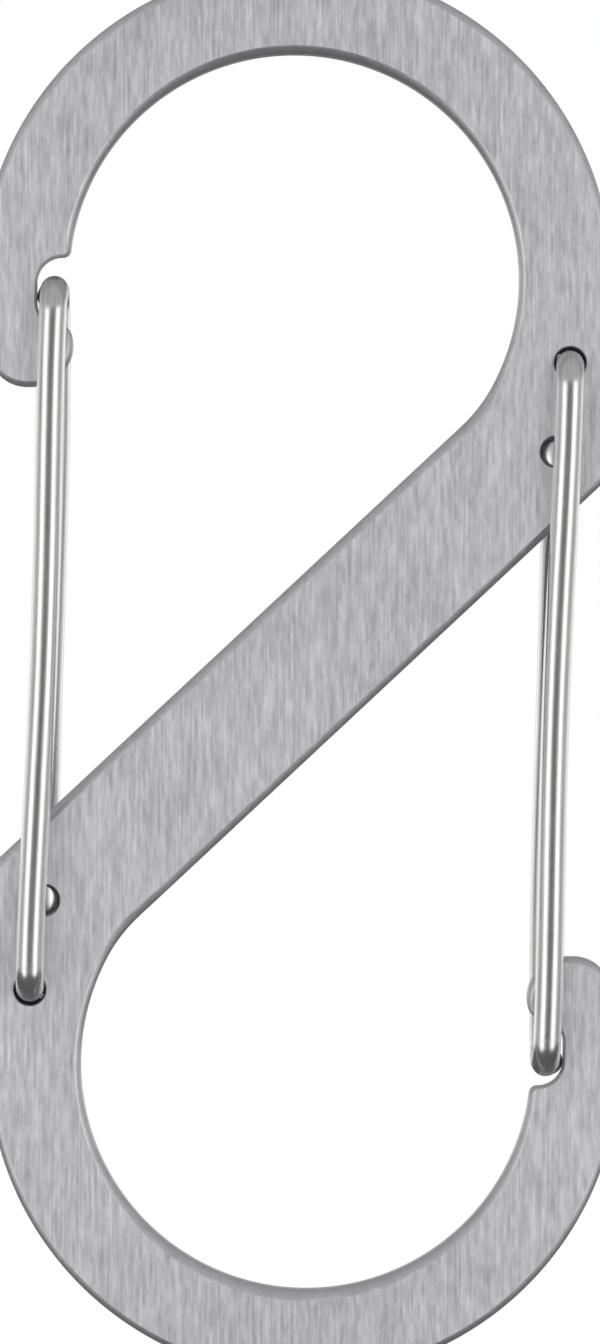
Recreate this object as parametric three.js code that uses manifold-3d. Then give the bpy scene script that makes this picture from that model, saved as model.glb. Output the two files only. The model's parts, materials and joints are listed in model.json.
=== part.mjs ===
// S-shaped double carabiner with two wire gates, in millimetres.
//
// One stamped stainless plate forms both hooks and the diagonal bar between
// them. Each hook's mouth is closed by a gate of polished wire: a front leg, a
// U bend that crosses the plate's edge inside the hook's notch, and a back leg.
// The wire's two ends turn inwards and sit in two holes through the plate, one
// from the front and one from the back. The holes are a few millimetres apart,
// so opening the gate flexes the wire and the wire springs it shut.
//
// Frame: the plate lies in the XZ plane, its thickness runs along Y, the front
// face looks towards -Y, +Z is up and the origin is the plate's centre.
// Half a turn about Y carries the upper hook onto the lower one, so sizes are
// given for the upper hook and its gate. In every Vector2, y stands for Z.

import * as THREE from 'three';
import { mergeVertices } from 'three/addons/utils/BufferGeometryUtils.js';
import Module from 'manifold-3d';

const { degToRad, radToDeg } = THREE.MathUtils;
const vec2 = (x, z) => new THREE.Vector2(x, z);

// ---- plate sizes ------------------------------------------------------------
const PLATE_T = 3.0;          // sheet thickness
const EDGE_R = 0.45;          // rounding all round the stamped edge
const OUTER = { x: -0.25, z: 24.42, r: 19.80 };     // hook's outer circle
const OPENING = { x: -0.375, z: 24.58, r: 14.12 };  // circle of the hook's opening
const BAR_ANGLE = 43.03;      // diagonal bar, degrees above +X
const BAR_HALF_W = 4.33;      // half the bar's width
const BLEND_R = 10.0;         // opening's circle runs into the bar's edge
const SHOULDER_R = 2.3;       // corner between the bar's edge and the lower hook's side

// nose, at the hook's free end
const NOSE_BOTTOM = 17.87;
const NOSE_TIP_R = 2.4;       // outer corner
const NOSE_BUMP_X = -14.23;   // furthest reach of the bump that keeps the wire in the notch
const BUMP_LOWER_R = 2.63;
const BUMP_UPPER_R = 2.17;
const NOSE_CORNER_R = 0.55;   // between the bump and the notch floor

// notch above the nose, where the gate's U bend rests
const NOTCH_FLOOR = 21.61;
const NOTCH_BACK_X = -16.5;
const NOTCH_TOP = 26.0;
const NOTCH_R = 1.6;
const NOTCH_LIP_R = 0.5;

// longest facet on each kind of arc, in degrees
const FACET = { outer: 4.5, opening: 5, shoulder: 9, nose: 12, notch: 12, corner: 17, lip: 20 };

// ---- pierced holes and gate sizes -------------------------------------------
const PIERCE_DZ = -0.28;      // holes and gates sit a little low of the blank
const HOLES = [
  { at: vec2(-16.80, -19.60), r: 1.05 },   // takes the front leg's end
  { at: vec2(-15.98, -14.02), r: 1.14 },   // takes the back leg's end
];
const DRILL_OVERRUN = 1;      // drill's reach past each face
const DRILL_SEGMENTS = 40;

const WIRE_R = 0.88;
const LEG_Y = 2.65;           // leg's centre line, from the plate's middle plane
const BEND_R = 1.35;          // wire's bends, on the centre line
const FRONT_PIN = vec2(-16.90, -19.54);    // front leg's turned-in end
const BACK_PIN = vec2(-16.00, -13.89);     // back leg's turned-in end
const U_AT = vec2(-15.36, 24.17);          // where the U bend crosses the plate's edge
const PIN_END = 1.2;          // how far past the middle plane each end reaches
const SPLIT_GAP = 0.10;       // between a gate's front and back halves, in the U bend
const BEND_STEPS = 7;
const LEG_STEPS = 9;
const SLOPE_STEP = 0.01;      // distance either side of a point when taking a leg's slope

// Sideways set of each leg at a fraction t of its length from the pin,
// positive towards the opening.
const frontBow = (t) => t * (1 - t) * (0.68 - 6.5 * (t - 0.5) ** 2);
const backBow = (t) => -t * (1 - t) * (0.75 - 2.1 * t);

// ---- plate's outline --------------------------------------------------------

// Points along a circular arc, including both ends; angles in degrees.
function arc(centreX, centreZ, r, start, end, maxStep) {
  const steps = Math.max(2, Math.ceil(Math.abs(end - start) / maxStep));
  const points = [];
  for (let i = 0; i <= steps; i++) {
    const angle = degToRad(start + ((end - start) * i) / steps);
    points.push(vec2(centreX + r * Math.cos(angle), centreZ + r * Math.sin(angle)));
  }
  return points;
}

// Arc over the top of a circle, with one facet lying square across its crown.
function crownArc({ x, z, r }, start, end, step) {
  const halfFacet = (Math.sign(end - start) * step) / 2;
  return [
    ...arc(x, z, r, start, 90 - halfFacet, step),
    ...arc(x, z, r, 90 + halfFacet, end, step),
  ];
}

// Outer circle, from the hook's right side over the top and round the nose's tip.
function outerEdge() {
  const tipZ = NOSE_BOTTOM + NOSE_TIP_R;
  const dz = tipZ - OUTER.z;
  const dx = Math.sqrt((OUTER.r - NOSE_TIP_R) ** 2 - dz ** 2);
  const tipAngle = 180 - radToDeg(Math.atan2(dz, dx));
  return [
    ...crownArc(OUTER, 0, tipAngle, FACET.outer),
    ...arc(OUTER.x - dx, tipZ, NOSE_TIP_R, tipAngle, 270, FACET.nose).slice(1),
  ];
}

// From the nose's underside up round its bump to the notch floor.
function noseBump() {
  const bumpZ = NOSE_BOTTOM + BUMP_LOWER_R;
  const upperX = NOSE_BUMP_X - BUMP_UPPER_R;
  const cornerZ = NOTCH_FLOOR - NOSE_CORNER_R;
  const dz = cornerZ - bumpZ;
  const dx = Math.sqrt((BUMP_UPPER_R - NOSE_CORNER_R) ** 2 - dz ** 2);
  const cornerAngle = radToDeg(Math.atan2(dz, dx));
  return [
    ...arc(NOSE_BUMP_X - BUMP_LOWER_R, bumpZ, BUMP_LOWER_R, 270, 360, FACET.nose),
    ...arc(upperX, bumpZ, BUMP_UPPER_R, 0, cornerAngle, FACET.nose).slice(1),
    ...arc(upperX + dx, cornerZ, NOSE_CORNER_R, cornerAngle, 90, FACET.corner).slice(1),
  ];
}

// The notch's two rounded corners; the straight runs lie between them.
function notch() {
  const x = NOTCH_BACK_X + NOTCH_R;
  return [
    ...arc(x, NOTCH_FLOOR + NOTCH_R, NOTCH_R, 270, 180, FACET.notch),
    ...arc(x, NOTCH_TOP - NOTCH_R, NOTCH_R, 180, 90, FACET.notch),
  ];
}

// Notch's lip, the opening's circle, the blend into the bar's upper edge, and
// the shoulder onto the lower hook's left side.
function openingAndShoulder() {
  const lipZ = NOTCH_TOP + NOTCH_LIP_R;
  const lipDz = lipZ - OPENING.z;
  const lipDx = -Math.sqrt((OPENING.r + NOTCH_LIP_R) ** 2 - lipDz ** 2);
  const lipAngle = radToDeg(Math.atan2(lipDz, lipDx));

  const barDir = vec2(Math.cos(degToRad(BAR_ANGLE)), Math.sin(degToRad(BAR_ANGLE)));
  const barNormal = vec2(barDir.y, -barDir.x);   // down and to the right
  const normalAngle = BAR_ANGLE - 90;
  const centre = vec2(OPENING.x, OPENING.z);

  // blend's centre, from the opening's centre: across and along the bar
  const across = -BAR_HALF_W - barNormal.dot(centre) - BLEND_R;
  const along = Math.sqrt((OPENING.r - BLEND_R) ** 2 - across ** 2);
  const blend = centre.addScaledVector(barNormal, across).addScaledVector(barDir, along);
  const blendAngle = normalAngle + radToDeg(Math.atan2(along, across));

  const shoulderX = -OUTER.r - OUTER.x + SHOULDER_R;
  const shoulderZ = (barNormal.x * shoulderX + BAR_HALF_W - SHOULDER_R) / -barNormal.y;
  return [
    ...arc(OPENING.x + lipDx, lipZ, NOTCH_LIP_R, 270, lipAngle + 180, FACET.lip),
    ...crownArc(OPENING, lipAngle, blendAngle, FACET.opening).slice(1),
    ...arc(blend.x, blend.y, BLEND_R, blendAngle, normalAngle, FACET.opening).slice(1),
    ...arc(shoulderX, shoulderZ, SHOULDER_R, normalAngle + 180, 180, FACET.shoulder),
  ];
}

function plateBlank() {
  const half = [...outerEdge(), ...noseBump(), ...notch(), ...openingAndShoulder()];
  const outline = half.concat(half.map((point) => point.clone().negate()));
  const blank = new THREE.ExtrudeGeometry(new THREE.Shape(outline), {
    depth: PLATE_T - 2 * EDGE_R,
    steps: 1,
    bevelEnabled: true,
    bevelThickness: EDGE_R,
    bevelSize: EDGE_R,
    bevelOffset: -EDGE_R,
    bevelSegments: 2,
  });
  blank.translate(0, 0, EDGE_R - PLATE_T / 2);
  blank.rotateX(Math.PI / 2);          // outline's y becomes Z, thickness runs along Y
  return blank;
}

// ---- drilled plate ----------------------------------------------------------
const wasm = await Module();
wasm.setup();

// Welds a geometry into a closed solid, keeping only its positions.
function toSolid(geometry) {
  geometry.deleteAttribute('normal');
  geometry.deleteAttribute('uv');
  const welded = mergeVertices(geometry, 1e-4);
  return new wasm.Manifold(new wasm.Mesh({
    numProp: 3,
    vertProperties: new Float32Array(welded.attributes.position.array),
    triVerts: new Uint32Array(welded.index.array),
  }));
}

function toGeometry(solid) {
  const { vertProperties, triVerts } = solid.getMesh();
  const geometry = new THREE.BufferGeometry();
  geometry.setAttribute('position', new THREE.Float32BufferAttribute(vertProperties, 3));
  geometry.setIndex(new THREE.Uint32BufferAttribute(triVerts, 1));
  geometry.computeVertexNormals();
  return geometry;
}

function drilledPlate() {
  let solid = toSolid(plateBlank());
  for (const side of [1, -1]) {
    for (const { at, r } of HOLES) {
      const drill = new THREE.CylinderGeometry(r, r, PLATE_T + 2 * DRILL_OVERRUN, DRILL_SEGMENTS);
      drill.translate(side * at.x, 0, side * at.y + PIERCE_DZ);
      solid = solid.subtract(toSolid(drill));
    }
  }
  return toGeometry(solid);
}

// ---- wire gates -------------------------------------------------------------

// A sweep path given by its own nodes and directions, so that the sweep can be
// fine in the bends and coarse along the legs. Overrides only the two methods
// that ExtrudeGeometry calls on it; the sweep must take one step per node.
class NodeCurve extends THREE.Curve {
  constructor(points, tangents) {
    super();
    this.points = points;
    this.tangents = tangents;
  }

  getSpacedPoints() {
    return this.points;
  }

  getTangentAt(u) {
    return this.tangents[Math.round(u * (this.tangents.length - 1))].clone();
  }
}

// Centre line of half a gate, from the turned-in end at `pin` to the middle of
// the U bend. `side` is -1 for the front leg and +1 for the back leg.
function wirePath(pin, side, bow) {
  const chord = U_AT.clone().sub(pin);
  const length = chord.length();
  const dir = chord.divideScalar(length);
  const points = [];
  const tangents = [];

  // `along` runs from the pin towards the U bend, `out` away from the middle
  // plane; the last two arguments give the wire's heading in the same terms.
  const addNode = (along, out, headingAlong, headingOut) => {
    const set = bow(along / length);
    points.push(new THREE.Vector3(
      pin.x + dir.x * along + dir.y * set,
      side * out,
      pin.y + dir.y * along - dir.x * set,
    ));
    const ahead = bow((along + SLOPE_STEP) / length);
    const behind = bow((along - SLOPE_STEP) / length);
    const drift = ((ahead - behind) / (2 * SLOPE_STEP)) * headingAlong;
    tangents.push(new THREE.Vector3(
      dir.x * headingAlong + dir.y * drift,
      side * headingOut,
      dir.y * headingAlong - dir.x * drift,
    ).normalize());
  };

  // Node i of a quarter bend: 0 is square to the plate, BEND_STEPS is on the leg.
  const addBendNode = (i, atU) => {
    const angle = ((i / BEND_STEPS) * Math.PI) / 2;
    const inset = BEND_R * (1 - Math.cos(angle));
    const out = LEG_Y - BEND_R + BEND_R * Math.sin(angle);
    const headingOut = atU ? -Math.cos(angle) : Math.cos(angle);
    addNode(atU ? length - inset : inset, out, Math.sin(angle), headingOut);
  };

  addNode(0, -PIN_END, 0, 1);
  for (let i = 0; i <= BEND_STEPS; i++) addBendNode(i, false);
  for (let i = 1; i < LEG_STEPS; i++) {
    addNode(BEND_R + ((length - 2 * BEND_R) * i) / LEG_STEPS, LEG_Y, 1, 0);
  }
  for (let i = BEND_STEPS; i >= 0; i--) addBendNode(i, true);
  addNode(length, SPLIT_GAP / 2, 0, -1);
  return new NodeCurve(points, tangents);
}

function halfWire(name, pin, side, bow) {
  const path = wirePath(pin, side, bow);
  const section = new THREE.Shape();
  section.absarc(0, 0, WIRE_R, 0, 2 * Math.PI);
  const geometry = new THREE.ExtrudeGeometry(section, {
    steps: path.points.length - 1,
    curveSegments: 10,
    bevelEnabled: false,
    extrudePath: path,
  });
  const mesh = new THREE.Mesh(geometry, polishedSteel());
  mesh.name = name;
  return mesh;
}

function gate(prefix, turn) {
  const group = new THREE.Group();
  group.add(
    halfWire(`${prefix}_gate_front_wire`, FRONT_PIN, -1, frontBow),
    halfWire(`${prefix}_gate_back_wire`, BACK_PIN, 1, backBow),
  );
  group.rotation.y = turn;
  group.position.z = PIERCE_DZ;
  return group;
}

// ---- materials --------------------------------------------------------------
function polishedSteel() {
  return new THREE.MeshStandardMaterial({ color: 0xd4d4d2, roughness: 0.14, metalness: 1.0 });
}

function plateSteel() {
  return new THREE.MeshStandardMaterial({ color: 0xb7b7bb, roughness: 0.4, metalness: 0.9 });
}

// ---- assembly ---------------------------------------------------------------
const plate = new THREE.Mesh(drilledPlate(), plateSteel());
plate.name = 's_plate';

const carabiner = new THREE.Group();
carabiner.add(
  plate,
  gate('left', 0),          // closes the upper hook, hinged low on the left
  gate('right', Math.PI),   // closes the lower hook, hinged high on the right
);

export default carabiner;
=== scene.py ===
"""Looks of an S-shaped double carabiner: a brushed and tumbled stainless plate and two
polished wire gates.

The plate lies in the XZ plane with its front face towards -Y. The S looks the same after a
half turn about Y, so one half is worked out and turned to give the other. Lengths are in
millimetres and become metres when a mesh is made; lights, camera and floor are in metres.
"""
import json
import math

import bpy
import numpy as np
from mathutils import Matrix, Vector, geometry


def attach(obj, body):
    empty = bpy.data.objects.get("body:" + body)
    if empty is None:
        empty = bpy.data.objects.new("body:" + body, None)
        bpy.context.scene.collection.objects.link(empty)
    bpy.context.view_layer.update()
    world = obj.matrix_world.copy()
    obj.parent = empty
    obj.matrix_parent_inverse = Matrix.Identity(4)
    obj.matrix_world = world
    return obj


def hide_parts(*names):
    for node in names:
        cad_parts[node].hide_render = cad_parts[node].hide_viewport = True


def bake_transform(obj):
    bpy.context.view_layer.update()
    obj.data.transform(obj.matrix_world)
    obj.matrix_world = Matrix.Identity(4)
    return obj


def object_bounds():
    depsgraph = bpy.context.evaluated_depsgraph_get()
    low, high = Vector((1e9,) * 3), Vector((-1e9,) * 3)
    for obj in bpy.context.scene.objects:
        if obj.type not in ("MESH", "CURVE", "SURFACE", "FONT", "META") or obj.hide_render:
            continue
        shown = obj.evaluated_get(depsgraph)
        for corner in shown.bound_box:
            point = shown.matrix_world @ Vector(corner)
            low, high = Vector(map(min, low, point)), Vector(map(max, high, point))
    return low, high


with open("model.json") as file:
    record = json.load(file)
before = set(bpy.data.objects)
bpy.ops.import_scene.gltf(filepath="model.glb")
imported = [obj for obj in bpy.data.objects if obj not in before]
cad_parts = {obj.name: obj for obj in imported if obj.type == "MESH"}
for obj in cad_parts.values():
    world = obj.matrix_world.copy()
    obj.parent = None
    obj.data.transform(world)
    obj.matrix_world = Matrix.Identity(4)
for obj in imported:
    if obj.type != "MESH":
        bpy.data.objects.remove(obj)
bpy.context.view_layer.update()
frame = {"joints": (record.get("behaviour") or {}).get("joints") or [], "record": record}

DEG = math.pi / 180
MM = 0.001

# ---- plate dimensions, mm and degrees (upper half of the S) ------------------
PLATE_T = 3.0
HALF_T = PLATE_T / 2
OUTER_X, OUTER_Z, OUTER_R = -0.25, 24.42, 19.80
INNER_X, INNER_Z, INNER_R = -0.375, 24.58, 14.12
BAR_ANGLE = 43.03           # the diagonal bar's rise towards +X
BAR_HALF_W = 4.33
BAR_STEPS = 20
BLEND_R = 10.0              # from the opening into the bar
SHOULDER_R = 2.3            # from the bar into the other half's outer circle

# the nose is the hook's free end, on the left; its inner side faces the opening
NOSE_BOTTOM = 17.87
NOSE_TIP_R = 2.4
NOSE_INNER_X = -14.23
NOSE_INNER_R = 2.63
NOSE_TOP_R = 2.17
NOSE_TOP_Z = 20.5
NOSE_CORNER_R = 0.55

# the notch above the nose opens to the right
NOTCH_FLOOR = 21.61
NOTCH_END_X = -16.5
NOTCH_TOP = 26.0
NOTCH_R = 1.6
NOTCH_LIP_R = 0.5

# size of the tumbled edge along the outline
EDGE = dict(crown=0.43, nose_tip=0.38, nose_inner=0.33, nose_top=0.26, nose_corner=0.20,
            notch_floor=0.15, notch_top=0.11, lip=0.12, opening=0.38, blend=0.58,
            bar=0.50, shoulder=0.46)
OPENING_CROWN_EXTRA = 0.20  # added over the top of the opening
EDGE_SMOOTHING = 0.7        # length over which the edge size evens out
UPWARD_WEAR = 0.16          # share by which upward edges are larger
EDGE_STEPS = 7

# ---- pierced holes, mm (the left gate's; the right gate's are turned) --------
PIERCE_DZ = -0.28           # all holes and both gates sit this much off the S's centre
FRONT_HOLE, FRONT_HOLE_R = (-16.91, -19.60), 0.965
BACK_HOLE, BACK_HOLE_R = (-16.02, -14.02), 0.93
MOUTH_EDGE = 0.11
BACK_FACE_EDGE = 0.10
HOLE_TILT = 12.0            # normal's tilt at the ends of a hole's rounded edge
FUNNEL_DEPTH = 0.30         # from the mouth's edge down to the bore
FUNNEL_STATIONS = (0.3, 0.6, 1.0)
FUNNEL_TILT = 65
BORE_DEPTHS = (-0.5, 0.3, 0.9)
BORE_R = 0.905              # leaves the wires' turned-in ends just free
HOLE_SIDES = 72
SWING = range(0, 34, 3)     # gate angles the back leg's bore must clear, degrees

# ---- wire gates, mm ----------------------------------------------------------
WIRE_R = 0.88
LEG_Y = 2.65
BEND_R = 1.35
BEND_Y = LEG_Y - BEND_R     # where the bends begin
FRONT_PIN = (-16.90, -19.54)
BACK_PIN = (-16.00, -13.89)
CROSSING_AT = (-15.36, 24.17)
PIN_END = 1.2               # how far an end reaches past the plate's middle
PIN_LEAN = (-0.05, 0.16)    # the back leg's end leans a little in its hole
LEAN_DEPTH = 1.3            # the lean is full from this depth on
CROSSING_PUSH = 0.24        # bow of the crossing towards the notch's end
CROSSING_STEPS = 14
PIN_STEPS, BEND_STEPS, LEG_STEPS = 7, 22, 90
BEND_FADE = 0.7             # reach of the bends' dulling along the wire
RIGHT_GRAIN_SHIFT = 200     # gives the right gate its own surface marks
WIRE_SIDES = 56

# rounded cut end: scale, distance ahead, radial and axial part of the normal, cut
TIP_LENGTH = 0.14
TIP_CENTRE = TIP_LENGTH - 0.005
TIP_RINGS = (
    (0.98, 0.035, 0.88, 0.47, 0.4), (0.94, 0.070, 0.72, 0.69, 0.8),
    (0.86, 0.100, 0.64, 0.77, 1.0), (0.72, 0.120, 0.53, 0.85, 1.0),
    (0.52, 0.130, 0.40, 0.917, 1.0), (0.28, 0.136, 0.21, 0.98, 1.0),
)
TIP_FLAT = np.array((1.0, 1.0, 0.3))    # the shear leaves the end rounded mostly one way


# ---- mesh helpers ------------------------------------------------------------
def make_mesh(name, verts, faces, corner_normals, attributes):
    """Smooth object in metres; attributes are (name, type, domain, values)."""
    mesh = bpy.data.meshes.new(name)
    mesh.from_pydata((np.asarray(verts) * MM).tolist(), [], faces)
    mesh.validate(clean_customdata=False)
    mesh.polygons.foreach_set("use_smooth", [True] * len(mesh.polygons))
    for key, kind, domain, values in attributes:
        field = "vector" if kind == "FLOAT_VECTOR" else "value"
        data = mesh.attributes.new(key, kind, domain).data
        data.foreach_set(field, np.asarray(values, np.float32).ravel())
    mesh.normals_split_custom_set([tuple(normal) for normal in corner_normals])
    mesh.update()
    obj = bpy.data.objects.new(name, mesh)
    bpy.context.scene.collection.objects.link(obj)
    return obj


def unit(vectors):
    vectors = np.asarray(vectors, float)
    return vectors / np.linalg.norm(vectors, axis=-1, keepdims=True)


# ---- plate outline -----------------------------------------------------------
def arc(centre_x, centre_z, radius, start, end, step, edge):
    """Rows of x, z, outward normal x, z and edge size; a clockwise arc is a hollow one."""
    count = max(2, math.ceil(abs(end - start) / step))
    sign = 1.0 if end > start else -1.0
    rows = []
    for i in range(count + 1):
        angle = (start + (end - start) * i / count) * DEG
        cos, sin = math.cos(angle), math.sin(angle)
        rows.append((centre_x + radius * cos, centre_z + radius * sin,
                     sign * cos, sign * sin, edge))
    return rows


def nose_and_notch():
    """Crown's outer circle, then round the nose and into the notch."""
    tip_z = NOSE_BOTTOM + NOSE_TIP_R
    drop = tip_z - OUTER_Z
    tip_x = OUTER_X - math.sqrt((OUTER_R - NOSE_TIP_R) ** 2 - drop ** 2)
    tip_angle = 180 - math.atan2(drop, OUTER_X - tip_x) / DEG
    rows = arc(OUTER_X, OUTER_Z, OUTER_R, 0, tip_angle, step=1.0, edge=EDGE["crown"])
    rows += arc(tip_x, tip_z, NOSE_TIP_R, tip_angle, 270, step=4, edge=EDGE["nose_tip"])
    rows += arc(NOSE_INNER_X - NOSE_INNER_R, NOSE_BOTTOM + NOSE_INNER_R, NOSE_INNER_R,
                270, 360, step=4, edge=EDGE["nose_inner"])
    top_x = NOSE_INNER_X - NOSE_TOP_R
    corner_z = NOTCH_FLOOR - NOSE_CORNER_R
    rise = corner_z - NOSE_TOP_Z
    corner_x = top_x + math.sqrt((NOSE_TOP_R - NOSE_CORNER_R) ** 2 - rise ** 2)
    corner_angle = math.atan2(rise, corner_x - top_x) / DEG
    rows += arc(top_x, NOSE_TOP_Z, NOSE_TOP_R, 0, corner_angle, step=4, edge=EDGE["nose_top"])
    rows += arc(corner_x, corner_z, NOSE_CORNER_R, corner_angle, 90,
                step=7, edge=EDGE["nose_corner"])
    # the tumbling hardly reaches into the notch
    rows += arc(NOTCH_END_X + NOTCH_R, NOTCH_FLOOR + NOTCH_R, NOTCH_R,
                270, 180, step=4, edge=EDGE["notch_floor"])
    rows += arc(NOTCH_END_X + NOTCH_R, NOTCH_TOP - NOTCH_R, NOTCH_R,
                180, 90, step=4, edge=EDGE["notch_top"])
    return rows


def opening_and_bar():
    """Notch's lip, the opening, the bar's upper edge and the shoulder."""
    along_x, along_z = math.cos(BAR_ANGLE * DEG), math.sin(BAR_ANGLE * DEG)
    down_x, down_z = along_z, -along_x      # square to the bar, down and to the right
    down_angle = BAR_ANGLE - 90
    lip_z = NOTCH_TOP + NOTCH_LIP_R
    lip_x = INNER_X - math.sqrt((INNER_R + NOTCH_LIP_R) ** 2 - (lip_z - INNER_Z) ** 2)
    lip_angle = math.atan2(lip_z - INNER_Z, lip_x - INNER_X) / DEG
    rows = arc(lip_x, lip_z, NOTCH_LIP_R, 270, lip_angle + 180, step=7, edge=EDGE["lip"])

    reach = -BAR_HALF_W - (down_x * INNER_X + down_z * INNER_Z) - BLEND_R
    along = math.sqrt((INNER_R - BLEND_R) ** 2 - reach ** 2)
    blend_x = INNER_X + down_x * reach + along_x * along
    blend_z = INNER_Z + down_z * reach + along_z * along
    blend_angle = down_angle + math.atan2(along, reach) / DEG
    for row in arc(INNER_X, INNER_Z, INNER_R, lip_angle, blend_angle, step=1.2, edge=0):
        extra = OPENING_CROWN_EXTRA * max(0.0, -row[3]) ** 2
        rows.append(row[:4] + (EDGE["opening"] + extra,))
    rows += arc(blend_x, blend_z, BLEND_R, blend_angle, down_angle,
                step=1.5, edge=EDGE["blend"])

    x0, z0 = rows[-1][:2]
    up_angle = down_angle + 180
    shoulder_x = -OUTER_R - OUTER_X + SHOULDER_R
    shoulder_z = (down_x * shoulder_x + BAR_HALF_W - SHOULDER_R) / -down_z
    x1 = shoulder_x + SHOULDER_R * math.cos(up_angle * DEG)
    z1 = shoulder_z + SHOULDER_R * math.sin(up_angle * DEG)
    for i in range(1, BAR_STEPS):
        part = i / BAR_STEPS
        rows.append((x0 + (x1 - x0) * part, z0 + (z1 - z0) * part,
                     -down_x, -down_z, EDGE["bar"]))
    rows += arc(shoulder_x, shoulder_z, SHOULDER_R, up_angle, 180,
                step=3, edge=EDGE["shoulder"])
    return rows


def plate_outline():
    """Points, outward normals and edge sizes round the whole plate."""
    half = np.array(nose_and_notch() + opening_and_bar())
    full = np.vstack([half, half * (-1, -1, -1, -1, 1)])
    # drop points that repeat where arcs meet
    keep = [0]
    for i in range(1, len(full)):
        if np.hypot(*(full[i, :2] - full[keep[-1], :2])) > 1e-4:
            keep.append(i)
    if np.hypot(*(full[keep[-1], :2] - full[keep[0], :2])) < 1e-4:
        keep.pop()
    full = full[keep]
    # let the edge size change smoothly along the outline
    step = np.hypot(*(np.roll(full[:, :2], -1, 0) - full[:, :2]).T)
    place = np.concatenate([[0], np.cumsum(step)[:-1]])
    total = step.sum()
    share = (step + np.roll(step, 1)) / 2
    size = np.empty(len(full))
    for i in range(len(full)):
        gap = np.abs(place - place[i])
        gap = np.minimum(gap, total - gap)
        weight = share * np.exp(-(gap / EDGE_SMOOTHING) ** 2)
        size[i] = (weight * full[:, 4]).sum() / weight.sum()
    size *= 1 + UPWARD_WEAR * full[:, 3]
    return full[:, :2], full[:, 2:4], size


def edge_profile(size, steps, tilt=22.0):
    """Rounded edge: (inset, depth, tilt of its normal) from the face to the wall."""
    bend = 45 - tilt
    radius = size / math.sqrt(2) / math.sin(bend * DEG)
    centre = size / 2 + radius * math.cos(bend * DEG) / math.sqrt(2)
    profile = []
    for i in range(steps + 1):
        angle = tilt + (90 - 2 * tilt) * i / steps
        profile.append((centre - radius * math.sin(angle * DEG),
                        centre - radius * math.cos(angle * DEG), angle))
    return profile


# ---- room for the back leg's end ---------------------------------------------
def turn(point, centre, angle):
    """Point of the XZ plane turned about +Y."""
    cos, sin = math.cos(angle * DEG), math.sin(angle * DEG)
    x, z = point[0] - centre[0], point[1] - centre[1]
    return centre[0] + x * cos + z * sin, centre[1] - x * sin + z * cos


def lean(y):
    """How far the back leg's end stands off its nominal place at depth y."""
    share = max(-1.0, min(1.0, y / LEAN_DEPTH))
    return PIN_LEAN[0] * share, PIN_LEAN[1] * share


JOINTS = {joint["name"]: joint for joint in frame["joints"]}
FLEX_RATIO = frame["record"]["behaviour"]["couplings"][0]["ratio"]


def joint_centre(name):
    """Joint's place in mm, in the XZ frame the gate is drawn in."""
    place = JOINTS[name]["pos_m"]
    return place[0] * 1000, place[2] * 1000 - PIERCE_DZ


def back_pin_centre(angle, y):
    """Centre of the left gate's back end at depth y with the gate at this angle."""
    off = lean(y)
    point = (BACK_PIN[0] + off[0], BACK_PIN[1] + off[1])
    flexed = turn(point, joint_centre("left_gate_flex"), FLEX_RATIO * angle)
    return turn(flexed, joint_centre("left_gate"), angle)


# ---- plate mesh --------------------------------------------------------------
def tilted(outward, angle, side):
    """3D normals: 0 degrees looks along Y to this side, 90 along the XZ normal."""
    cos, sin = math.cos(angle * DEG), math.sin(angle * DEG)
    return [(x * sin, side * cos, z * sin) for x, z in outward]


class Shell:
    """Plate surface in the making, with normals and paint values per face corner.

    rim is 0 on the flat faces and grows from 1 at their border to 2 on the walls; bore
    marks the holes and how much painted shade darkens them. A row is (first vertex, normals, rim,
    bore).
    """

    def __init__(self):
        self.verts, self.faces, self.normals, self.rim, self.bore = [], [], [], [], []

    def ring(self, xz, y):
        first = len(self.verts)
        self.verts.extend((point[0], depth, point[1])
                          for point, depth in zip(xz, np.broadcast_to(y, len(xz))))
        return first

    def band(self, rows):
        """Closed strips of quads between neighbouring rows, facing along the normals."""
        for (a, normals_a, rim_a, bore_a), (b, normals_b, rim_b, bore_b) in zip(rows, rows[1:]):
            count = len(normals_a)
            for i in range(count):
                j = (i + 1) % count
                face = (a + i, a + j, b + j, b + i)
                normals = [normals_a[i], normals_a[j], normals_b[j], normals_b[i]]
                rim = [rim_a, rim_a, rim_b, rim_b]
                bore = [bore_a, bore_a, bore_b, bore_b]
                origin, ahead, across = (np.array(self.verts[face[k]]) for k in (0, 1, 3))
                if np.cross(ahead - origin, across - origin) @ np.mean(normals, axis=0) < 0:
                    face, normals, rim, bore = face[::-1], normals[::-1], rim[::-1], bore[::-1]
                self.faces.append(face)
                self.normals.extend(normals)
                self.rim.extend(rim)
                self.bore.extend(bore)

    def flat_face(self, loops, side):
        """Fills the first loop, less the others, with triangles facing this side."""
        corners = [i for loop in loops for i in loop]
        triangles = geometry.tessellate_polygon(
            [[Vector((self.verts[i][0], self.verts[i][2], 0)) for i in loop] for loop in loops])
        for triangle in triangles:
            face = tuple(corners[i] for i in triangle)
            a, b, c = (np.array(self.verts[i]) for i in face)
            area = np.cross(b - a, c - a)[1]
            if abs(area) < 1e-12:
                continue
            self.faces.append(face if area * side > 0 else face[::-1])
            self.normals.extend([(0, side, 0)] * 3)
            self.rim.extend([0.0] * 3)
            self.bore.extend([0.0] * 3)


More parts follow.
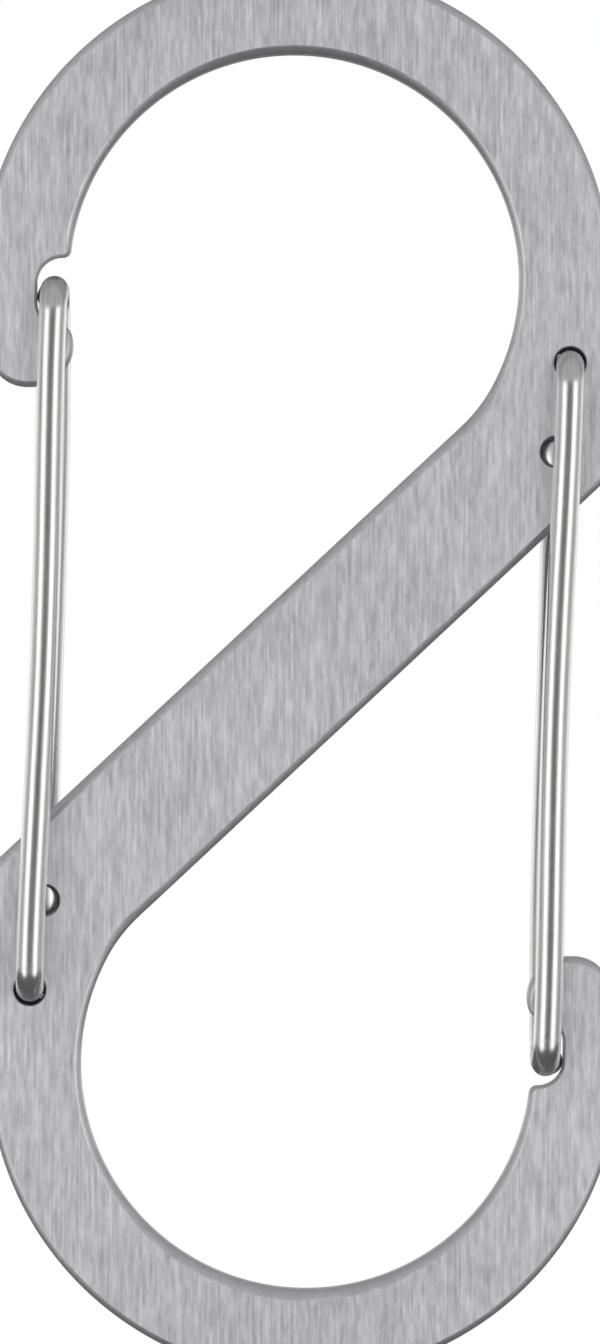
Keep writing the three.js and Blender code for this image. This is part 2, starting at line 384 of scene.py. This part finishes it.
def add_outer_edge(shell, points, normals, size):
    """Front edge, back edge and the wall between; returns the two faces' borders."""
    borders, walls = [], []
    for side in (-1, 1):
        rows = []
        for k, (inset, depth, angle) in enumerate(edge_profile(1.0, EDGE_STEPS)):
            first = shell.ring(points - normals * (size * inset)[:, None],
                               side * (HALF_T - size * depth))
            rows.append((first, tilted(normals, angle, side), 1.0 + k / EDGE_STEPS, 0.0))
        shell.band(rows)
        borders.append(rows[0][0])
        walls.append(rows[-1][0])
    level = tilted(normals, 90, 1)
    shell.band([(first, level, 2.0, 0.0) for first in walls])
    return borders


def add_hole(shell, sign, mouth_at, mouth_r, bore_centres):
    """Hole with a wide mouth on the front; returns its rings in the front and back face."""
    angles = np.arange(HOLE_SIDES) * 2 * math.pi / HOLE_SIDES
    circle = np.stack([np.cos(angles), np.sin(angles)], 1)
    mouth = np.array(mouth_at) + circle * mouth_r
    inward = -circle * sign
    level = tilted(inward, 90, 1)

    def ring(xz, y):
        return shell.ring(sign * xz + (0, PIERCE_DZ), y)

    def bore_ring(y):
        """Edge of the space the wire's end needs at depth y, over the whole swing."""
        centres = np.array(bore_centres(y))
        return centres[(centres @ circle.T).argmax(0)] + circle * BORE_R

    # bore weights the painted shade of the hole: full inside, less on the mouth's and the back
    # face's rounded edges
    mouth_edge = [(ring(mouth + circle * inset, -(HALF_T - depth)),
                   tilted(inward, angle, -1), 1.3, 0.70 + 0.3 * angle / 90)
                  for inset, depth, angle in edge_profile(MOUTH_EDGE, 4, HOLE_TILT)]
    shell.band(mouth_edge)

    first, normals, _, bore = mouth_edge[-1]
    funnel = [(first, normals, 2.0, bore)]
    for part in FUNNEL_STATIONS:
        ease = part * part * (3 - 2 * part)
        y = -(HALF_T - MOUTH_EDGE - FUNNEL_DEPTH * part)
        first = ring(mouth * (1 - ease) + bore_ring(y) * ease, y)
        funnel.append((first, tilted(inward, FUNNEL_TILT if part < 1 else 90, -1), 2.0, 1.0))
    shell.band(funnel)

    wall = [funnel[-1][0]] + [ring(bore_ring(y), y) for y in BORE_DEPTHS]
    back_edge = [(ring(bore_ring(HALF_T) + circle * inset, HALF_T - depth),
                  tilted(inward, angle, 1), 1.3, 0.5)
                 for inset, depth, angle in reversed(edge_profile(BACK_FACE_EDGE, 3, HOLE_TILT))]
    wall.append(back_edge[0][0])
    shell.band([(first, level, 2.0, 1.0) for first in wall])
    shell.band(back_edge)
    return mouth_edge[0][0], back_edge[-1][0]


def build_plate():
    shell = Shell()
    points, normals, size = plate_outline()
    count = len(points)
    borders = add_outer_edge(shell, points, normals, size)
    # fresh marks the small edges and their walls, where the tumbling barely reached
    freshness = np.clip((0.34 - size) / 0.16, 0, 1)
    fresh = [freshness[i % count] for face in shell.faces for i in face]

    holes = []
    for sign in (1, -1):
        holes.append(add_hole(shell, sign, FRONT_HOLE, FRONT_HOLE_R, lambda y: [FRONT_PIN]))
        holes.append(add_hole(shell, sign, BACK_HOLE, BACK_HOLE_R,
                              lambda y: [back_pin_centre(angle, y) for angle in SWING]))
    for k, side in ((0, -1), (1, 1)):
        loops = [list(range(borders[k], borders[k] + count))]
        loops += [list(range(hole[k], hole[k] + HOLE_SIDES)) for hole in holes]
        shell.flat_face(loops, side)

    fresh += [0.0] * (len(shell.rim) - len(fresh))
    paint = (("rim", shell.rim), ("bore", shell.bore), ("fresh", fresh))
    return make_mesh("s_plate_body", shell.verts, shell.faces, unit(shell.normals),
                     [(key, "FLOAT", "CORNER", values) for key, values in paint])


plate = build_plate()
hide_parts("s_plate")
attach(plate, "plate")


# ---- wire gates --------------------------------------------------------------
def front_bow(part):
    """Front leg's distance off its chord, towards the opening, at this part of its length."""
    return part * (1 - part) * (0.68 - 6.5 * (part - 0.5) ** 2)


def back_bow(part):
    """The same for the back leg, which bows mostly the other way."""
    return -part * (1 - part) * (0.75 - 2.1 * part)


def half_path(pin, side, bow, leans=False):
    """Centre line and headings of half a gate, from its turned-in end to the crossing."""
    chord_x, chord_z = CROSSING_AT[0] - pin[0], CROSSING_AT[1] - pin[1]
    length = math.hypot(chord_x, chord_z)
    dir_x, dir_z = chord_x / length, chord_z / length
    points, headings = [], []

    def add(along, y, d_along, d_y):
        """Station this far along the chord and out from the plate, with its direction."""
        off = bow(along / length)
        lean_x, lean_z = lean(side * y) if leans else (0, 0)
        keep = 1 - along / length
        points.append((pin[0] + dir_x * along + dir_z * off + lean_x * keep, side * y,
                       pin[1] + dir_z * along - dir_x * off + lean_z * keep))
        slope = (bow((along + 0.01) / length) - bow((along - 0.01) / length)) / 0.02
        d_off = slope * d_along
        headings.append(unit((dir_x * d_along + dir_z * d_off, side * d_y,
                              dir_z * d_along - dir_x * d_off)))

    for y in np.linspace(-(PIN_END - TIP_LENGTH), BEND_Y, PIN_STEPS + 1)[:-1]:
        add(0, y, 0, 1)
    bend = [(BEND_R * (1 - math.cos(angle)), BEND_Y + BEND_R * math.sin(angle),
             math.sin(angle), math.cos(angle))
            for angle in (i / BEND_STEPS * math.pi / 2 for i in range(BEND_STEPS + 1))]
    for along, y, d_along, d_y in bend:
        add(along, y, d_along, d_y)
    for i in range(1, LEG_STEPS):
        add(BEND_R + (length - 2 * BEND_R) * i / LEG_STEPS, LEG_Y, 1, 0)
    for along, y, d_along, d_y in reversed(bend):
        add(length - along, y, d_along, -d_y)
    if leans:
        bent = PIN_STEPS + BEND_STEPS
        headings[:bent] = unit(np.gradient(np.array(points[:bent + 3]), axis=0)[:bent])
    return points, headings


def wire_mesh(name, stations, tip_end=None):
    """Round wire through stations (centres, two cross axes, lengths, bend values).

    tip_end 0 or -1 gives that end a rounded cut; other ends get a flat cap.
    """
    centres, axes_1, axes_2, lengths, bends = stations
    angles = np.arange(WIRE_SIDES) * 2 * math.pi / WIRE_SIDES
    verts, normals, cut, wire_p, bend = [], [], [], [], []
    faces, caps = [], []

    def vertex(place, normal, cut_value, across, station):
        verts.append(place)
        normals.append(normal)
        cut.append(cut_value)
        wire_p.append((*across, lengths[station]))
        bend.append(bends[station])

    def ring(station, axis=np.zeros(3), scale=1, ahead=0, radial=1, axial=0, cut_value=0.0):
        first = len(verts)
        centre = centres[station] + axis * ahead
        for angle in angles:
            cos, sin = math.cos(angle), math.sin(angle)
            out = cos * axes_1[station] + sin * axes_2[station]
            flatten = TIP_FLAT if axial else 1.0
            vertex(centre + WIRE_R * scale * out, unit(radial * out * flatten + axial * axis),
                   cut_value, (WIRE_R * scale * cos, WIRE_R * scale * sin), station)
        return first

    def strip(a, b):
        for i in range(WIRE_SIDES):
            j = (i + 1) % WIRE_SIDES
            faces.append((a + i, a + j, b + j, b + i))

    rings = [ring(i) for i in range(len(centres))]
    for a, b in zip(rings, rings[1:]):
        strip(a, b)
    for end, neighbour in ((0, 1), (-1, -2)):
        outward = unit(centres[end] - centres[neighbour])
        last = rings[end]
        if end != tip_end:
            caps.append((tuple(last + i for i in range(WIRE_SIDES)), outward))
            continue
        for scale, ahead, radial, axial, cut_value in TIP_RINGS:
            following = ring(end, outward, scale, ahead, radial, axial, cut_value)
            strip(last, following)
            last = following
        vertex(centres[end] + outward * TIP_CENTRE, outward, 1.0, (0, 0), end)
        tip = len(verts) - 1
        for i in range(WIRE_SIDES):
            faces.append((last + i, last + (i + 1) % WIRE_SIDES, tip))

    # wind every face to agree with its normals
    verts, normals = np.array(verts), np.array(normals)
    wound, corner_normals = [], []
    for face in faces:
        a, b, c = verts[list(face[:3])]
        if np.cross(b - a, c - a) @ normals[list(face)].mean(0) < 0:
            face = face[::-1]
        wound.append(face)
        corner_normals += [normals[i] for i in face]
    for face, outward in caps:
        a, b, c = verts[list(face[:3])]
        if np.cross(b - a, c - b) @ outward < 0:
            face = face[::-1]
        wound.append(face)
        corner_normals += [outward] * len(face)
    return make_mesh(name, verts, wound, corner_normals, [
        ("cut", "FLOAT", "POINT", cut), ("bend", "FLOAT", "POINT", bend),
        ("wire_p", "FLOAT_VECTOR", "POINT", wire_p)])


def gate_stations(turned, sag):
    """Stations of a whole gate, and where its crossing begins and ends among them."""
    front, front_headings = half_path(FRONT_PIN, -1, front_bow)
    back, back_headings = half_path(BACK_PIN, 1, back_bow, leans=True)
    # the crossing has sprung against the end of the notch
    crossing = []
    for y in np.linspace(-BEND_Y, BEND_Y, CROSSING_STEPS + 1)[1:-1]:
        swell = math.cos(math.pi * y / (2 * BEND_Y)) ** 2
        crossing.append((CROSSING_AT[0] - CROSSING_PUSH * swell, y,
                         CROSSING_AT[1] - sag * swell))
    start, end = len(front), len(front) + len(crossing)
    centres = np.array(front + crossing + back[::-1])
    headings = np.array(front_headings + [(0, 1, 0)] * len(crossing)
                        + [-heading for heading in back_headings[::-1]])
    headings[start:end] = unit(np.gradient(centres, axis=0)[start:end])
    if turned:
        centres *= (-1, 1, -1)
        headings *= (-1, 1, -1)
    centres[:, 2] += PIERCE_DZ

    # carry one pair of cross axes along the whole wire so that its rings never twist
    axes_1, axes_2 = np.zeros_like(centres), np.zeros_like(centres)
    axis = np.array((1.0, 0, 0))
    for i, heading in enumerate(headings):
        axis = unit(axis - heading * (axis @ heading))
        axes_1[i], axes_2[i] = axis, np.cross(heading, axis)
    steps = np.linalg.norm(np.diff(centres, axis=0), axis=1)
    lengths = np.concatenate([[0], np.cumsum(steps)])
    # 1 within a bend, fading to 0 beyond it
    steepness = np.abs(headings[:, 1])
    worked = lengths[(steepness > 0.03) & (steepness < 0.97)]
    bends = np.clip(1 - np.abs(lengths[:, None] - worked).min(1) / BEND_FADE, 0, 1)
    lengths = lengths + (RIGHT_GRAIN_SHIFT if turned else 0)
    return (centres, axes_1, axes_2, lengths, bends), start, end


def gate(prefix, turned, sag):
    """Front leg, crossing and back leg; sag is the crossing's drop before any turn."""
    stations, start, end = gate_stations(turned, sag)

    def piece(name, span, tip_end=None):
        return wire_mesh(f"{prefix}_gate_{name}", [part[span] for part in stations], tip_end)

    front = piece("front_leg", slice(None, start), tip_end=0)
    crossing = piece("crossing", slice(start - 1, end + 1))
    back = piece("back_leg", slice(end, None), tip_end=-1)

    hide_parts(f"{prefix}_gate_front_wire")
    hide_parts(f"{prefix}_gate_back_wire")
    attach(front, f"{prefix}_gate_front")
    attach(back, f"{prefix}_gate_back")
    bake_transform(crossing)
    return [front, crossing, back]


wires = gate("left", turned=False, sag=0.38) + gate("right", turned=True, sag=0.04)


# ---- materials ---------------------------------------------------------------
class Nodes:
    """Short forms for building a node tree."""

    def __init__(self, owner):
        owner.use_nodes = True
        self.tree = owner.node_tree
        self.tree.nodes.clear()

    def new(self, kind, **props):
        node = self.tree.nodes.new(kind)
        for key, value in props.items():
            setattr(node, key, value)
        return node

    def put(self, socket, value):
        if isinstance(value, bpy.types.NodeSocket):
            self.tree.links.new(value, socket)
        else:
            socket.default_value = value

    def math(self, operation, *values, clamp=False):
        node = self.new("ShaderNodeMath", operation=operation, use_clamp=clamp)
        for socket, value in zip(node.inputs, values):
            self.put(socket, value)
        return node.outputs[0]

    def times(self, value, by):
        return self.math("MULTIPLY", value, by)

    def plus(self, value, extra, clamp=False):
        return self.math("ADD", value, extra, clamp=clamp)

    def linear(self, value, gain, base, clamp=False):
        return self.math("MULTIPLY_ADD", value, gain, base, clamp=clamp)

    def layers(self, *parts, centred=False):
        """Sum of (noise, weight) parts; centred ones swing about zero."""
        total = None
        for noise, weight in parts:
            if centred:
                term = self.linear(noise, gain=weight, base=weight * -0.5)
            else:
                term = self.times(noise, by=weight)
            total = term if total is None else self.plus(total, term)
        return total

    def noise(self, coords, density, detail, rough=0.5):
        """Noise with this many cells per unit of the coordinates along each axis."""
        stretch = self.new("ShaderNodeVectorMath", operation="MULTIPLY")
        self.put(stretch.inputs[0], coords)
        stretch.inputs[1].default_value = density
        node = self.new("ShaderNodeTexNoise")
        self.put(node.inputs["Vector"], stretch.outputs[0])
        node.inputs["Scale"].default_value = 1.0
        node.inputs["Detail"].default_value = detail
        node.inputs["Roughness"].default_value = rough
        return node.outputs[0]

    def fit(self, value, low, high, to_low=0.0, to_high=1.0, kind="LINEAR"):
        node = self.new("ShaderNodeMapRange", interpolation_type=kind, clamp=True)
        for socket, setting in zip(node.inputs, (value, low, high, to_low, to_high)):
            self.put(socket, setting)
        return node.outputs[0]

    def mix(self, factor, a, b):
        node = self.new("ShaderNodeMix", data_type="FLOAT")
        self.put(node.inputs[0], factor)
        self.put(node.inputs[2], a)
        self.put(node.inputs[3], b)
        return node.outputs[0]

    def tint(self, value, rgb):
        node = self.new("ShaderNodeCombineColor")
        for socket, share in zip(node.inputs, rgb):
            self.put(socket, self.times(value, by=share))
        return node.outputs[0]

    def attribute(self, name, output="Fac"):
        return self.new("ShaderNodeAttribute", attribute_name=name).outputs[output]

    def separate(self, vector):
        node = self.new("ShaderNodeSeparateXYZ")
        self.put(node.inputs[0], vector)
        return node.outputs

    def bump(self, shader, height, strength, distance):
        node = self.new("ShaderNodeBump")
        node.inputs["Strength"].default_value = strength
        node.inputs["Distance"].default_value = distance
        self.put(node.inputs["Height"], height)
        self.put(shader.inputs["Normal"], node.outputs[0])


def new_steel(name):
    material = bpy.data.materials.new(name)
    nodes = Nodes(material)
    output = nodes.new("ShaderNodeOutputMaterial")
    shader = nodes.new("ShaderNodeBsdfPrincipled")
    nodes.put(output.inputs[0], shader.outputs[0])
    return material, nodes, shader


def plate_steel():
    material, nodes, shader = new_steel("plate_brushed_steel")
    coords = nodes.new("ShaderNodeTexCoord").outputs["Object"]
    rim_and_wall = nodes.attribute("rim")
    rim = nodes.math("MINIMUM", rim_and_wall, 1.0)
    across = nodes.math("SUBTRACT", rim_and_wall, 1.0, clamp=True)
    bore = nodes.attribute("bore")

    # brush lines run up and down the plate: short dashes over longer hairlines
    short = nodes.noise(coords, density=(4300, 4300, 820), detail=2.0)
    hair = nodes.noise(coords, density=(8500, 8500, 230), detail=1.5)
    broad = nodes.noise(coords, density=(1500, 1500, 330), detail=2.0)
    mottle = nodes.noise(coords, density=(620, 620, 420), detail=3.0, rough=0.55)
    cloud = nodes.noise(coords, density=(75, 75, 60), detail=2.0)
    grain_tone_and_side_light = nodes.layers((short, 0.80), (hair, 0.62), (broad, 0.20), (mottle, 0.15),
                        (cloud, 0.26), centred=True)
    # painted light: a little lighter towards the left and right sides, where the lamps light the
    # plate more
    half_width = 0.0202
    side = nodes.times(nodes.separate(coords)[0], by=1 / half_width)
    side = nodes.times(nodes.times(side, by=side), by=0.09)
    grain_tone_and_side_light = nodes.plus(grain_tone_and_side_light, side)
    face = nodes.times(nodes.plus(grain_tone_and_side_light, extra=1.0), by=0.69)

    # tumbled edge: finer, speckled, less brushed
    speck = nodes.noise(coords, density=(3800, 3800, 3800), detail=3.0, rough=0.6)
    patch = nodes.noise(coords, density=(700, 700, 700), detail=2.0)
    worn = nodes.plus(nodes.linear(speck, gain=0.30, base=0.62), nodes.times(patch, by=0.20))
    edge = nodes.times(worn, by=0.93)
    # hole walls: speckled grain under painted shade, which makes them far darker than the face
    bore_grain_and_shade = nodes.linear(speck, gain=0.24, base=0.20)

    # painted highlight: a thin light line, in patches, where the face meets the edge
    line = nodes.times(nodes.fit(across, low=0.0, high=0.22, to_low=1.0, to_high=0.0),
                       by=nodes.fit(patch, low=0.45, high=0.62))
    line = nodes.times(line, by=rim)
    value = nodes.mix(rim, face, nodes.linear(line, gain=0.16, base=edge))
    # stamped wall that the tumbling barely reached: pale, matt and grainy
    fresh = nodes.attribute("fresh")
    value = nodes.mix(fresh, value, nodes.linear(speck, gain=0.22, base=0.52))
    # painted shade darkens the holes' walls and rounded edges by the bore weight
    value = nodes.plus(nodes.mix(bore, value, bore_grain_and_shade), extra=0.0, clamp=True)
    nodes.put(shader.inputs["Base Color"], nodes.tint(value, rgb=(0.982, 0.982, 1.03)))
    nodes.put(shader.inputs["Metallic"], nodes.linear(fresh, gain=-0.8, base=1.0))

    rough = nodes.mix(rim, nodes.linear(short, gain=0.20, base=0.34),
                      nodes.linear(speck, gain=0.16, base=0.40))
    nodes.put(shader.inputs["Roughness"], rough)
    nodes.put(shader.inputs["Anisotropic"], nodes.mix(rim, a=0.45, b=0.0))
    tangent = nodes.new("ShaderNodeCombineXYZ")
    tangent.inputs[0].default_value = 1.0
    nodes.put(shader.inputs["Tangent"], tangent.outputs[0])

    height = nodes.layers((short, 0.6), (hair, 0.4))
    height = nodes.mix(rim, height, nodes.times(speck, by=0.35))
    nodes.bump(shader, height, strength=0.35, distance=0.000012)
    return material


def wire_steel():
    material, nodes, shader = new_steel("wire_polished_steel")
    coords = nodes.attribute("wire_p", "Vector")
    cut = nodes.attribute("cut")

    # draw marks run along the wire; scuffs and a slight waviness cross them
    draw = nodes.noise(coords, density=(7.5, 7.5, 0.16), detail=2.5, rough=0.55)
    fine = nodes.noise(coords, density=(16, 16, 0.7), detail=1.5)
    scuff = nodes.noise(coords, density=(2.6, 2.6, 1.5), detail=3.0, rough=0.6)
    wave = nodes.noise(coords, density=(0.7, 0.7, 0.35), detail=1.0)

    value = nodes.plus(nodes.linear(draw, gain=0.50, base=0.47), nodes.times(fine, by=0.16))
    value = nodes.plus(value, nodes.linear(scuff, gain=0.12, base=-0.04), clamp=True)
    value = nodes.mix(cut, value, nodes.linear(scuff, gain=0.14, base=0.90))
    nodes.put(shader.inputs["Base Color"], nodes.tint(value, rgb=(1.0, 1.0, 0.99)))
    shader.inputs["Metallic"].default_value = 1.0
    rough = nodes.plus(nodes.linear(scuff, gain=0.10, base=0.10), nodes.times(draw, by=0.06))
    # bending has dulled and roughened the wire, with a ragged border
    grain = nodes.noise(coords, density=(4.5, 4.5, 4.5), detail=3.0, rough=0.65)
    ragged = nodes.plus(nodes.attribute("bend"), nodes.linear(grain, gain=1.2, base=-0.6))
    dull = nodes.fit(ragged, low=0.45, high=0.85, kind="SMOOTHSTEP")
    rough = nodes.mix(dull, rough, nodes.linear(grain, gain=0.16, base=0.17))
    nodes.put(shader.inputs["Roughness"], nodes.mix(cut, rough, b=0.30))

    height = nodes.layers((draw, 0.5), (fine, 0.25), (wave, 1.5), (scuff, 0.25))
    height = nodes.plus(height, nodes.times(nodes.times(dull, by=grain), by=1.3))
    nodes.bump(shader, height, strength=0.35, distance=0.00001)
    return material


plate_material = plate_steel()
wire_material = wire_steel()
plate.data.materials.append(plate_material)
for wire in wires:
    wire.data.materials.append(wire_material)


# ---- floor, m ----------------------------------------------------------------
FLOOR_HALF = 6.0
FLOOR_GAP = 0.0003


def build_floor():
    """White floor just below the part; it casts no shadow and is not mirrored in it."""
    mesh = bpy.data.meshes.new("floor")
    corners = [(x * FLOOR_HALF, y * FLOOR_HALF, 0) for x, y in ((-1, -1), (1, -1), (1, 1), (-1, 1))]
    mesh.from_pydata(corners, [], [(0, 1, 2, 3)])
    floor = bpy.data.objects.new("floor", mesh)
    floor.location = (0, 0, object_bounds()[0].z - FLOOR_GAP)
    bpy.context.scene.collection.objects.link(floor)

    material = bpy.data.materials.new("floor_white")
    nodes = Nodes(material)
    output = nodes.new("ShaderNodeOutputMaterial")
    both = nodes.new("ShaderNodeAddShader")
    diffuse = nodes.new("ShaderNodeBsdfDiffuse")
    diffuse.inputs["Color"].default_value = (0.8, 0.8, 0.8, 1)
    glow = nodes.new("ShaderNodeEmission")
    glow.inputs["Strength"].default_value = 0.72
    nodes.put(both.inputs[0], diffuse.outputs[0])
    nodes.put(both.inputs[1], glow.outputs[0])
    nodes.put(output.inputs[0], both.outputs[0])
    mesh.materials.append(material)
    floor.visible_glossy = False
    floor.visible_diffuse = False
    floor.visible_shadow = False


build_floor()

# ---- world -------------------------------------------------------------------
# brightness round the horizon: (direction, level); 0 is the front, 1 the back, and
# the left and right sides are alike
HORIZON = (
    (0.0, 0.155), (0.055, 0.20), (0.12, 0.40), (0.175, 1.05), (0.235, 1.55),
    (0.30, 1.40), (0.36, 0.72), (0.44, 0.40), (0.53, 0.52), (0.64, 0.85),
    (0.75, 1.10), (0.84, 1.0), (0.90, 0.62), (1.0, 0.62),
)


def build_world():
    """Studio: dark straight in front, bright to both sides of it, grey above, dark below."""
    world = bpy.data.worlds.new("studio")
    bpy.context.scene.world = world
    nodes = Nodes(world)
    output = nodes.new("ShaderNodeOutputWorld")
    x, y, z = nodes.separate(nodes.new("ShaderNodeTexCoord").outputs["Generated"])
    azimuth = nodes.math("ARCTAN2", nodes.math("ABSOLUTE", x), nodes.times(y, by=-1.0))
    azimuth = nodes.math("DIVIDE", azimuth, math.pi)
    ramp = nodes.new("ShaderNodeValToRGB")
    elements = ramp.color_ramp.elements
    ramp.color_ramp.interpolation = "EASE"
    for i, (position, level) in enumerate(HORIZON):
        element = elements[i] if i < 2 else elements.new(position)
        element.position = position
        element.color = (level, level, level, 1)
    nodes.put(ramp.inputs[0], azimuth)
    split = nodes.new("ShaderNodeSeparateColor")
    nodes.put(split.inputs[0], ramp.outputs[0])
    up = nodes.fit(z, low=0.08, high=0.26, kind="SMOOTHSTEP")
    # the dark below begins lower down at the front
    depth = nodes.math("SUBTRACT", nodes.times(z, by=-1.0),
                       nodes.fit(y, low=-0.60, high=-0.05, to_low=0.36, to_high=0.02))
    down = nodes.fit(depth, low=0.0, high=0.15, kind="SMOOTHSTEP")
    above = nodes.fit(y, low=-0.2, high=0.8, to_low=0.42, to_high=0.22)
    level = nodes.mix(up, split.outputs[0], above)
    level = nodes.mix(down, level, b=0.10)
    # the camera itself sees plain white
    seen = nodes.new("ShaderNodeLightPath").outputs["Is Camera Ray"]
    level = nodes.mix(seen, level, b=1.0)
    background = nodes.new("ShaderNodeBackground")
    nodes.put(background.inputs["Color"], nodes.tint(level, rgb=(1.0, 1.0, 1.0)))
    background.inputs["Strength"].default_value = 1.0
    nodes.put(output.inputs[0], background.outputs[0])


build_world()


# ---- lights, m and degrees ---------------------------------------------------
def softbox(name, azimuth, elevation, distance, width, height, radiance):
    """Area light that faces the part; azimuth 0 is the front, 90 the right side."""
    light = bpy.data.lights.new(name, "AREA")
    light.shape = "RECTANGLE"
    light.size, light.size_y = width, height
    light.energy = radiance * math.pi * width * height
    lamp = bpy.data.objects.new(name, light)
    turned, raised = azimuth * DEG, elevation * DEG
    lamp.location = Vector((math.sin(turned) * math.cos(raised),
                            -math.cos(turned) * math.cos(raised), math.sin(raised))) * distance
    lamp.rotation_mode = "QUATERNION"
    lamp.rotation_quaternion = (-lamp.location).to_track_quat("-Z", "Y")
    bpy.context.scene.collection.objects.link(lamp)
    lamp.visible_camera = False
    return lamp


# lamps for the plate only: a large soft one round the camera and one behind, a tall
# one on each side whose light the wires shade, and a weak low one on each side
lit = bpy.data.collections.new("lit_by_fill")
lit.objects.link(plate)
fill = dict(distance=1.1, width=0.60, height=0.60)
lamps = [softbox("front_fill", azimuth=0, elevation=-4, radiance=0.475, **fill),
         softbox("back_fill", azimuth=180, elevation=4, radiance=0.40, **fill)]
for way, side in (("left", -1), ("right", 1)):
    lamps.append(softbox(f"{way}_tall", azimuth=29 * side, elevation=0, distance=1.0,
                         width=0.13, height=0.50, radiance=1.05))
    lamps.append(softbox(f"{way}_low", azimuth=75 * side, elevation=-32, distance=1.0,
                         width=0.55, height=0.45, radiance=0.25))
for lamp in lamps:
    lamp.light_linking.receiver_collection = lit

# ---- camera, m (lens and sensor in mm) ---------------------------------------
CAMERA_DISTANCE = 0.600
CAMERA_Z = -0.00003
VIEW_HEIGHT = 0.0843        # height of the view at the plate
SENSOR = 36.0

camera = bpy.data.cameras.new("camera")
camera.sensor_fit = "AUTO"
camera.sensor_width = SENSOR
camera.lens = SENSOR * CAMERA_DISTANCE / VIEW_HEIGHT
camera.clip_start = 0.01
camera.clip_end = 50
camera_object = bpy.data.objects.new("camera", camera)
camera_object.location = (0.0, -CAMERA_DISTANCE, CAMERA_Z)
camera_object.rotation_euler = (math.pi / 2, 0, 0)
bpy.context.scene.collection.objects.link(camera_object)
bpy.context.scene.camera = camera_object

bpy.context.scene.view_settings.view_transform = "Standard"
bpy.context.scene.view_settings.look = "None"
